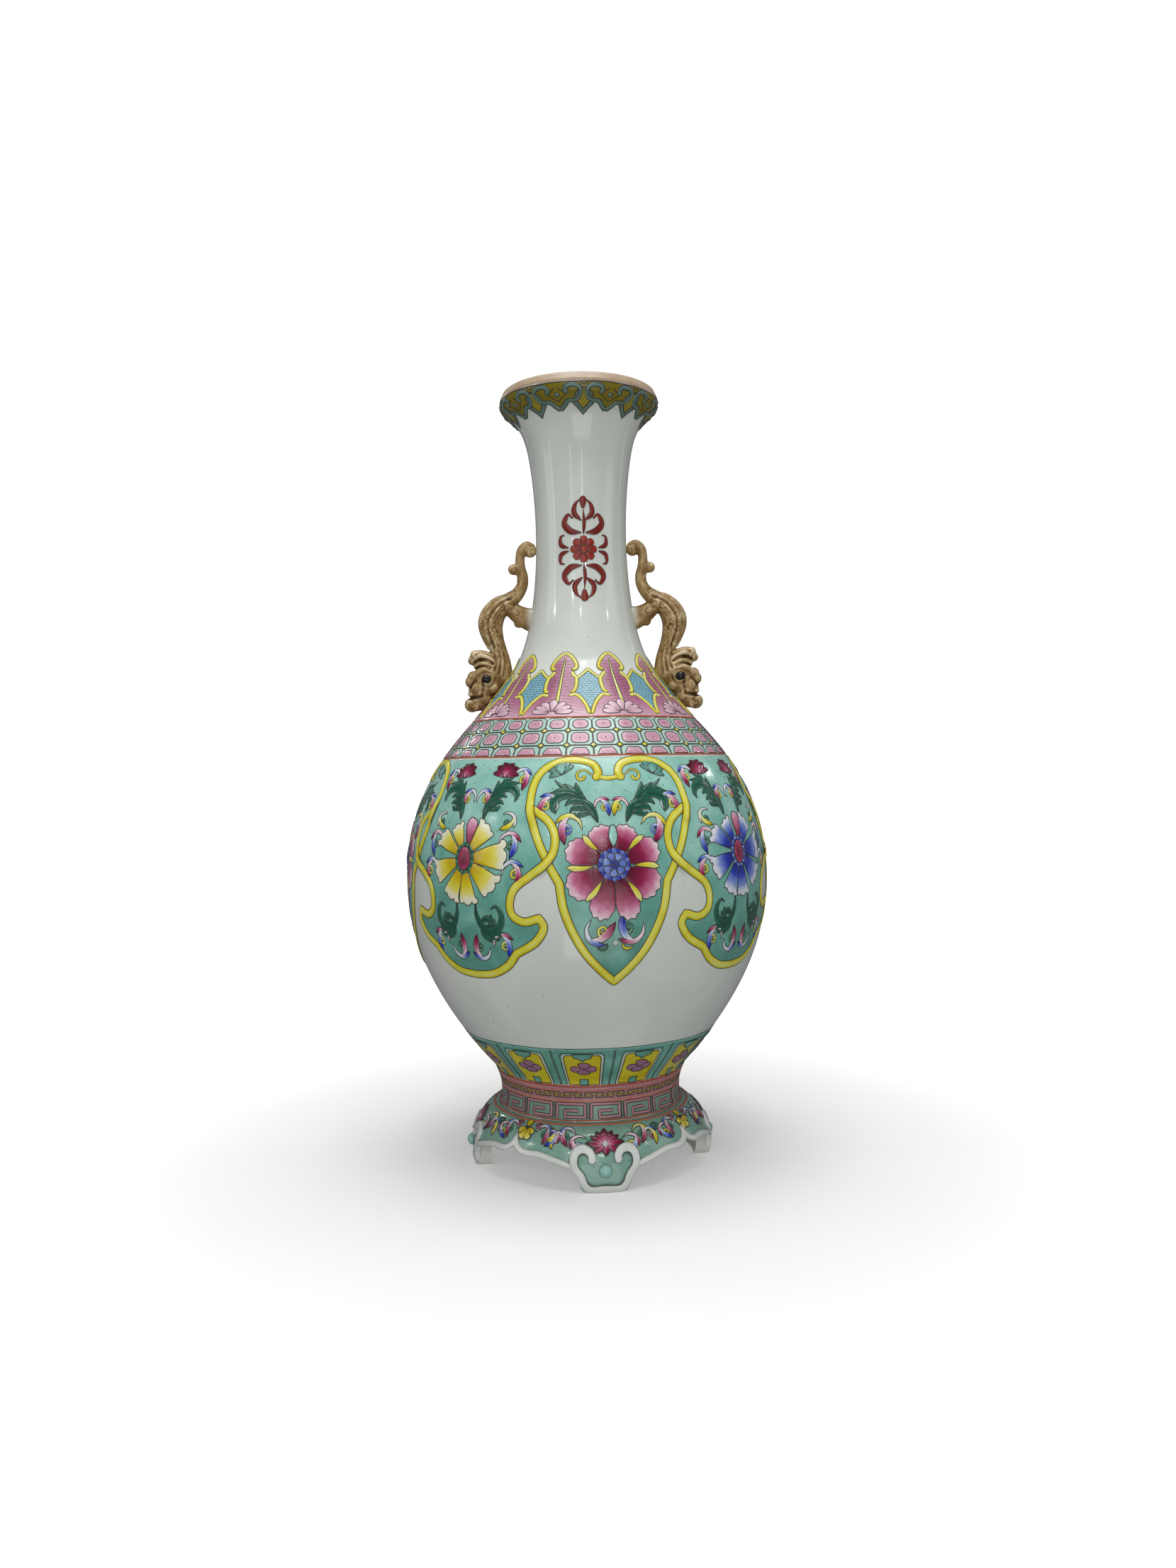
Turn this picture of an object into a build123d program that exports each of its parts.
"""Porcelain vase on four ruyi feet, with two dragon handles.

The vase is built the way a potter builds it. Thrown sections (lower body, upper body, neck, mouth and
stem) are luted together at stepped seams. A flared foot skirt is cut into four ruyi feet and edged with
raised rolls. Each handle is a head-down dragon made of hand-modelled pieces luted to each other, to the
neck and to the shoulder.

Frame: +Z up, origin on the vase's axis at the level the feet stand on. The handles lie on the X axis
and the front of the vase faces -Y. Lengths are in millimetres and angles in degrees.
"""

from build123d import *
from math import cos, hypot, pi, radians, sin
import os

# ---------------------------------------------------------------- driving dimensions
HEIGHT = 260.0             # from the ground to the lip
GIRTH_RADIUS = 60.9        # widest radius of the body
GIRTH_HEIGHT = 95.5
WALL = 3.0                 # wall thickness of the thrown sections
FLOOR = 4.2                # thickness of the body's floor
FOOT_COUNT = 4
FOOT_TURN = 6.0            # the feet were luted on this far round from square with the handles

STEM_TOP = 33.2            # the body stands on the stem here
STEM_BASE = 19.7           # the stem stands on the foot skirt here
STEM_BORE = 26.5           # inside radius of the stem
SPIGOT = 1.5               # how far the floor reaches down into the stem

NECK_SEAM = 172.0
MOUTH_SEAM = 245.0
SEAM_LAP = 1.3             # height of the step in each seam between thrown sections

FOOT_ZONE = 8.0            # below this height only the feet go on down
EDGE_WIDTH = 2.3           # raised roll round each foot
APRON_EDGE_WIDTH = 1.6     # raised roll along the arches between the feet
EDGE_PROUD = 0.8           # how far a roll stands out from the skirt
EDGE_DEPTH = 1.2           # how far it is let into the skirt
BEAD_RADIUS = 2.1
BEAD_HEIGHT = 6.9
BEAD_OUT = 40.35           # from the axis to the centre of a bead
EYE_RADIUS = 1.25

FAR = 90.0                 # beyond every radius, for cutting tools

# The outer wall, as (radius, height), from the stem up to the underside of the mouth.
BODY_LINE = [
    (32.6, STEM_TOP), (42.3, 44.8), (51.6, 59.4), (57.8, 74.0), (GIRTH_RADIUS, GIRTH_HEIGHT),
    (58.4, 115.0), (52.5, 129.5), (44.4, 141.3), (36.3, 150.6), (28.8, 159.4), (22.6, 168.4),
    (18.9, 178.5), (16.6, 191.0), (15.4, 212.0), (16.0, 226.5), (17.3, 237.5), (19.6, 246.3),
]
# The mouth flares like a dish, then turns up to the lip.
MOUTH_LINE = [(21.4, 249.4), (24.4, 252.2), (26.4, 254.4), (26.9, 256.4), (26.1, 258.6)]
LIP_RADIUS = 24.9
MOUTH_INSIDE = [(23.6, 257.6), (22.4, 255.4), (19.6, 252.4), (17.4, 249.0), (16.3, 245.5)]
STEM_LINE = [(31.1, STEM_BASE), (30.3, 22.6), (30.3, 25.6), (31.2, 29.6), (32.6, STEM_TOP)]
SKIRT_OUTSIDE = [
    (31.1, STEM_BASE), (33.6, 19.1), (35.8, 17.4), (37.7, 15.0), (39.3, 12.0), (40.2, 9.0),
    (40.4, 5.5), (39.4, 0.0),
]
SKIRT_INSIDE = [(35.0, 0.0), (35.9, 5.5), (35.0, 9.4), (33.0, 12.8), (30.2, 15.4), (STEM_BORE, 16.8)]

# Half of a foot's outline below the apron, as (sideways, height), seen along its own radius.
FOOT_SIDE = [(6.6, 0.0), (8.0, 2.6), (8.6, 5.2), (10.4, 7.2), (11.0, FOOT_ZONE)]
# Half of the centreline of the roll round a foot: from under the foot, up its side and into the curl.
FOOT_ROLL = [
    (0.0, 1.15), (5.2, 1.2), (6.9, 3.1), (7.7, 5.4), (9.4, 7.6), (9.9, 10.6), (8.8, 12.9), (6.7, 13.6),
    (4.7, 12.6), (4.2, 10.5),
]
# Half of an arch's lower edge, seen along the radius midway between two feet, from its peak down.
ARCH_EDGE = [(0.0, 13.4), (1.6, 11.5), (3.8, 10.6), (8.6, 10.5), (13.4, 9.6), (20.2, 7.6)]

# Dragon handle on the +X side: (x, z, half width in the handle's plane, half width along Y).
TAIL = [
    (18.6, 209.0, 1.2, 1.4), (20.4, 207.6, 1.4, 1.6), (21.1, 204.4, 1.4, 1.7), (20.8, 201.2, 1.6, 1.9),
    (20.2, 198.2, 1.9, 2.1), (20.5, 195.2, 2.0, 2.5), (22.2, 192.4, 2.3, 3.0), (24.2, 190.8, 2.9, 3.3),
]
BODY = [
    (24.2, 190.8, 2.9, 3.3), (27.4, 188.8, 3.5, 3.7), (30.0, 186.0, 3.9, 4.0), (31.2, 182.0, 3.9, 4.1),
    (30.6, 177.6, 3.6, 4.0), (29.0, 173.6, 3.1, 3.8), (27.6, 169.3, 3.0, 3.7), (26.8, 163.5, 3.4, 3.9),
]
MANE = [
    (24.6, 193.4, 0.7, 0.9), (28.4, 192.4, 1.1, 1.2), (32.4, 189.2, 1.2, 1.3), (34.9, 184.6, 1.2, 1.3),
    (35.0, 179.6, 1.2, 1.3), (33.3, 175.4, 1.1, 1.2), (31.4, 172.6, 0.7, 0.9),
]
LEG = [(15.2, 183.6, 4.6, 2.4), (19.0, 184.4, 3.9, 2.5), (24.0, 187.4, 2.6, 2.9)]
SKULL = [
    (28.6, 168.4, 3.2, 3.7), (30.4, 165.2, 5.0, 4.5), (32.2, 161.8, 6.0, 4.9), (34.2, 158.2, 4.9, 4.2),
    (36.2, 154.6, 3.3, 3.2),
]
CREST = [(31.2, 168.2, 2.4, 3.0), (34.2, 170.2, 1.9, 2.8), (36.6, 170.9, 1.8, 2.6)]
TAIL_CURL = (17.7, 207.2, 2.4)        # x, z, radius
TAIL_BUD = (23.5, 200.7, 2.0)
HAUNCH = (25.4, 188.4, 2.4)           # a spiral boss on each face of the dragon
HAUNCH_SPREAD = 2.6                   # from the handle's middle plane to a boss's centre
SNOUT = (37.3, 161.9, 2.6)
JAW = (37.8, 154.5, 2.3)
CHEEK = (35.9, 160.0, 2.0)
CHEEK_SPREAD = 3.2
CREST_KNOB = (37.2, 170.8, 1.9)
EYE = (32.9, 163.3)
EYE_SPREAD = 4.45                     # from the handle's middle plane to an eye's centre


# ---------------------------------------------------------------- helpers
def at(point):
    """A (radius, height) pair as a point of the XZ plane."""
    return (point[0], 0, point[1])


def revolved(*edges):
    """A solid of revolution about Z from the edges of a closed outline in the XZ plane."""
    return revolve(make_face(Curve() + list(edges)), Axis.Z)


def turned_polygon(points):
    """A solid of revolution about Z from a polygon of (radius, height) points."""
    return revolve(make_face(Polyline(*[at(p) for p in points], close=True)), Axis.Z)


def inset(points, depth):
    """A line of (radius, height) points moved inwards by a wall thickness, square to the line."""
    moved = []
    for i, (r, z) in enumerate(points):
        before, after = points[max(i - 1, 0)], points[min(i + 1, len(points) - 1)]
        dr, dz = after[0] - before[0], after[1] - before[1]
        length = hypot(dr, dz)
        moved.append((r - depth * dz / length, z + depth * dr / length))
    return moved


def facing(azimuth):
    """A plane whose local x runs sideways and local y runs up, seen from outside along a radius.

    Azimuth 0 is the front of the vase, -Y, and it grows anticlockwise seen from above.
    """
    a = radians(azimuth)
    return Plane(origin=(0, 0, 0), x_dir=(cos(a), sin(a), 0), z_dir=(sin(a), -cos(a), 0))


def mirrored(half):
    """Both halves of an outline given for x from 0 up, in order from left to right."""
    left = [(-x, y) for x, y in reversed(half)]
    return left + [p for p in half if p[0] > 0]


def stroke(line, width):
    """A flat face of one width that follows a line, with round ends."""
    return trace(line, width) + Pos(line @ 0) * Circle(width / 2) + Pos(line @ 1) * Circle(width / 2)


def prism(face, azimuth):
    """A flat face pushed outwards along the radius at an azimuth, from the axis to beyond the foot."""
    return extrude(facing(azimuth) * face, amount=FAR)


def tapered(sections):
    """A limb through oval sections, each square to the line of their centres in the XZ plane."""
    faces = []
    for i, (x, z, half_plane, half_y) in enumerate(sections):
        before, after = sections[max(i - 1, 0)], sections[min(i + 1, len(sections) - 1)]
        along = Vector(after[0] - before[0], 0, after[1] - before[1])
        faces.append(Plane(origin=(x, 0, z), x_dir=(0, 1, 0), z_dir=along) * Ellipse(half_y, half_plane))
    return loft(faces)


def ball(x, z, radius, y=0.0):
    return Pos(x, y, z) * Rot(90, 0, 0) * Sphere(radius)


# ---------------------------------------------------------------- thrown sections
def vessel():
    """The whole pot above the stem as one shell, with its floor."""
    outer = Spline(*[at(p) for p in BODY_LINE + MOUTH_LINE])
    lip = ThreePointArc(at(MOUTH_LINE[-1]), at((LIP_RADIUS, HEIGHT)), at(MOUTH_INSIDE[0]))
    inner_wall = inset(BODY_LINE, WALL)
    floor_top = STEM_TOP + FLOOR
    inside_points = MOUTH_INSIDE + [p for p in reversed(inner_wall[1:-1])]
    inner = Spline(*[at(p) for p in inside_points])
    floor_corner = (inside_points[-1][0] - 7.5, floor_top)
    hollow = Spline(at(inside_points[-1]), at(floor_corner), tangents=[inner % 1, (-1, 0, 0)])
    rest = Polyline(
        at(floor_corner), at((0, floor_top)), at((0, STEM_TOP - SPIGOT)),
        at((STEM_BORE, STEM_TOP - SPIGOT)), at((STEM_BORE, STEM_TOP)), at(BODY_LINE[0]),
    )
    return revolved(outer, lip, inner, hollow, rest)


def filled_vessel():
    """The pot's outer shape with no hollow, to shape whatever is luted on to it."""
    outer = Spline(*[at(p) for p in BODY_LINE + MOUTH_LINE])
    top = Polyline(at(MOUTH_LINE[-1]), at((0, MOUTH_LINE[-1][1])), at((0, STEM_TOP)), at(BODY_LINE[0]))
    return revolved(outer, top)


def above_seam(height, step_radius):
    """All space above a stepped seam: inside step_radius the lower section reaches up by the lap."""
    return turned_polygon([
        (0, height + SEAM_LAP), (step_radius, height + SEAM_LAP), (step_radius, height),
        (FAR, height), (FAR, HEIGHT + 10), (0, HEIGHT + 10),
    ])


def thrown_sections():
    pot = vessel()
    above_girth = above_seam(GIRTH_HEIGHT, GIRTH_RADIUS - WALL / 2)
    above_root = above_seam(NECK_SEAM, 19.3)
    above_neck = above_seam(MOUTH_SEAM, 17.6)
    stem = revolved(
        Spline(*[at(p) for p in STEM_LINE]),
        Polyline(at(STEM_LINE[-1]), at((STEM_BORE, STEM_TOP)), at((STEM_BORE, STEM_BASE)),
                 at(STEM_LINE[0])),
    )
    return {
        "lower_body": pot - above_girth,
        "upper_body": (pot & above_girth) - above_root,
        "neck": (pot & above_root) - above_neck,
        "mouth": pot & above_neck,
        "stem": stem,
    }


# ---------------------------------------------------------------- foot skirt
def skirt_shell(out=0.0, depth=None):
    """The flared skirt before its arches are cut, or a skin of it that spans its outer face."""
    outside = inset(SKIRT_OUTSIDE, out)
    if depth is None:
        inside = SKIRT_INSIDE
    else:
        inside = list(reversed(inset(SKIRT_OUTSIDE, -depth)))
    return revolved(
        Spline(*[at(p) for p in outside]),
        Line(at(outside[-1]), at(inside[0])),
        Spline(*[at(p) for p in inside]),
        Polyline(at(inside[-1]), at((STEM_BORE, STEM_BASE)), at(outside[0])) if depth is None
        else Line(at(inside[-1]), at(outside[0])),
    )


def arch_line(lift):
    """An arch's edge as two curves that meet in a cusp, raised by a lift."""
    right = [(x, z + lift) for x, z in ARCH_EDGE]
    left = [(-x, z) for x, z in reversed(right)]
    return Curve() + [Spline(*left), Spline(*right)]


def foot_skirt_parts():
    """The skirt, with the rolls and beads luted on to it."""
    shell = skirt_shell()
    slab = Pos(0, 0, FOOT_ZONE / 2) * Cylinder(FAR, FOOT_ZONE)
    above_ground = Pos(0, 0, FAR / 2) * Cylinder(FAR, FAR)
    skin = skirt_shell(out=EDGE_PROUD, depth=EDGE_DEPTH) & above_ground
    mid_arch = FOOT_TURN + 180 / FOOT_COUNT
    arch = arch_line(0)
    below_arch = make_face(arch + Polyline(arch @ 1, ((arch @ 1).X, 0), ((arch @ 0).X, 0), arch @ 0))
    right = Spline(*FOOT_SIDE)
    left = Spline(*mirrored(FOOT_SIDE)[:len(FOOT_SIDE)])
    foot = make_face(left + Line(left @ 1, right @ 0) + right + Line(right @ 1, left @ 0))
    border = Spline(*mirrored(FOOT_ROLL))

    roll = skin & prism(stroke(border, EDGE_WIDTH), FOOT_TURN)
    neighbour = Rotation(0, 0, 360 / FOOT_COUNT) * roll
    arch_strip = prism(stroke(arch_line(APRON_EDGE_WIDTH / 2), APRON_EDGE_WIDTH), mid_arch)
    lengths = ((skin & arch_strip) - roll - neighbour).solids()
    arch_roll = max(lengths, key=lambda length: length.volume)
    a = radians(FOOT_TURN)
    bead_centre = (BEAD_OUT * sin(a), -BEAD_OUT * cos(a), BEAD_HEIGHT)
    bead = Pos(*bead_centre) * Rot(90, 0, 0) * Sphere(BEAD_RADIUS) - shell

    foot_solid = (shell & slab) & prism(foot, FOOT_TURN)
    arch_cut = prism(below_arch, mid_arch)
    skirt = shell - slab
    pieces = {}
    for i in range(FOOT_COUNT):
        turn = Rotation(0, 0, 360 / FOOT_COUNT * i)
        skirt = skirt - turn * arch_cut + turn * foot_solid
        pieces[f"foot_roll_{i + 1}"] = turn * roll
        pieces[f"arch_roll_{i + 1}"] = turn * arch_roll
        pieces[f"foot_bead_{i + 1}"] = turn * bead
    for name, piece in pieces.items():
        if "roll" in name:
            skirt = skirt - piece
    return {"foot_skirt": skirt, **pieces}


# ---------------------------------------------------------------- dragon handles
def dragon():
    """The pieces of the handle on the +X side, each cut to sit against its neighbours."""
    pot = filled_vessel()
    body = tapered(BODY) - pot
    tail = tapered(TAIL) + ball(*TAIL_CURL) + ball(*TAIL_BUD) - pot - body
    haunches = ball(*HAUNCH, y=-HAUNCH_SPREAD) + ball(*HAUNCH, y=HAUNCH_SPREAD)
    leg = tapered(LEG) + haunches - pot - tail - body
    head = tapered(SKULL) + ball(*SNOUT) + ball(*JAW)
    head = head + ball(*CHEEK, y=-CHEEK_SPREAD) + ball(*CHEEK, y=CHEEK_SPREAD) - pot - body
    pieces = {"body": body, "tail": tail, "leg": leg}
    for side, y in (("front", -EYE_SPREAD), ("back", EYE_SPREAD)):
        eye = ball(*EYE, EYE_RADIUS, y=y)
        pieces[f"{side}_eye"] = eye
        head = head - eye
    crest = tapered(CREST) + ball(*CREST_KNOB) - head - body
    return pieces | {"head": head, "crest": crest, "mane": tapered(MANE) - body - tail - crest}


# ---------------------------------------------------------------- build and write
def main():
    os.makedirs("parts", exist_ok=True)
    parts = thrown_sections() | foot_skirt_parts()
    for name, piece in dragon().items():
        parts[f"right_dragon_{name}"] = piece
        parts[f"left_dragon_{name}"] = mirror(piece, about=Plane.YZ)
    for name, shape in parts.items():
        solids = shape.solids()
        export_step(Compound(children=list(solids)), f"parts/{name}.step")
        print(name, len(solids), round(sum(s.volume for s in solids), 1))


main()
